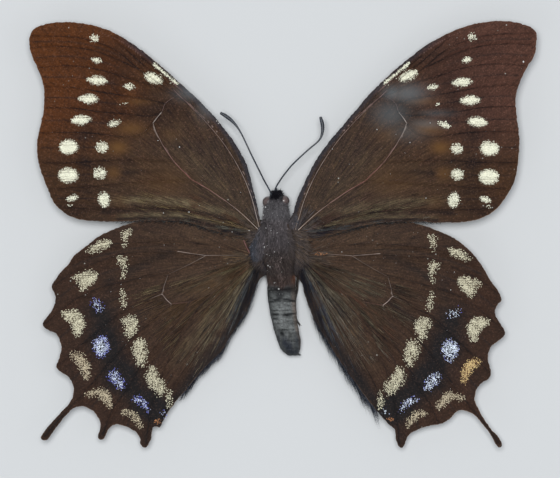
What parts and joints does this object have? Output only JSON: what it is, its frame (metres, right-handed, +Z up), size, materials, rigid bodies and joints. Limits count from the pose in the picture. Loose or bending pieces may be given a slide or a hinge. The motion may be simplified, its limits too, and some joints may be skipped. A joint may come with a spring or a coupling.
{
  "type": "set specimen of papilio warscewiczi, a swallowtail butterfly",
  "caption": "Still, life-size set butterfly with dark spotted wings spread flat, tailed hindwings, furry body and clubbed feelers, lying on its legs.",
  "frame": {"origin": "on the floor under the middle of the spread wings' box, at the level of the toes", "axes": "+Y ahead along the body towards the head, +X to the right wing's tip, +Z up from the floor to the wings' upper side"},
  "size_m": [0.1013, 0.0854, 0.0119],
  "materials": {
    "forewing_scales": "dark brown scaled membrane with cream spots, satin",
    "hindwing_scales": "dark brown scaled membrane with cream crescents and blue scales, satin",
    "body_fur": "dense grey brown hair",
    "abdomen_scales": "flat grey green scales",
    "head_hair": "short black hair",
    "eye": "dark brown gloss",
    "feeler": "dark bluish grey horn, ringed",
    "leg": "dark brown horn with fine scales"
  },
  "bodies": {
    "root": {"head": "head_hair", "eye_left": "eye", "eye_right": "eye", "palp_left": "head_hair", "palp_right": "head_hair", "proboscis": "feeler", "antenna_left": "feeler", "antenna_right": "feeler", "thorax": "body_fur", "abdomen": "abdomen_scales", "forewing_left": "forewing_scales", "forewing_right": "forewing_scales", "hindwing_left": "hindwing_scales", "hindwing_right": "hindwing_scales", "foreleg_left": "leg", "foreleg_right": "leg", "midleg_left": "leg", "midleg_right": "leg", "hindleg_left": "leg", "hindleg_right": "leg"}
  },
  "joints": []
}
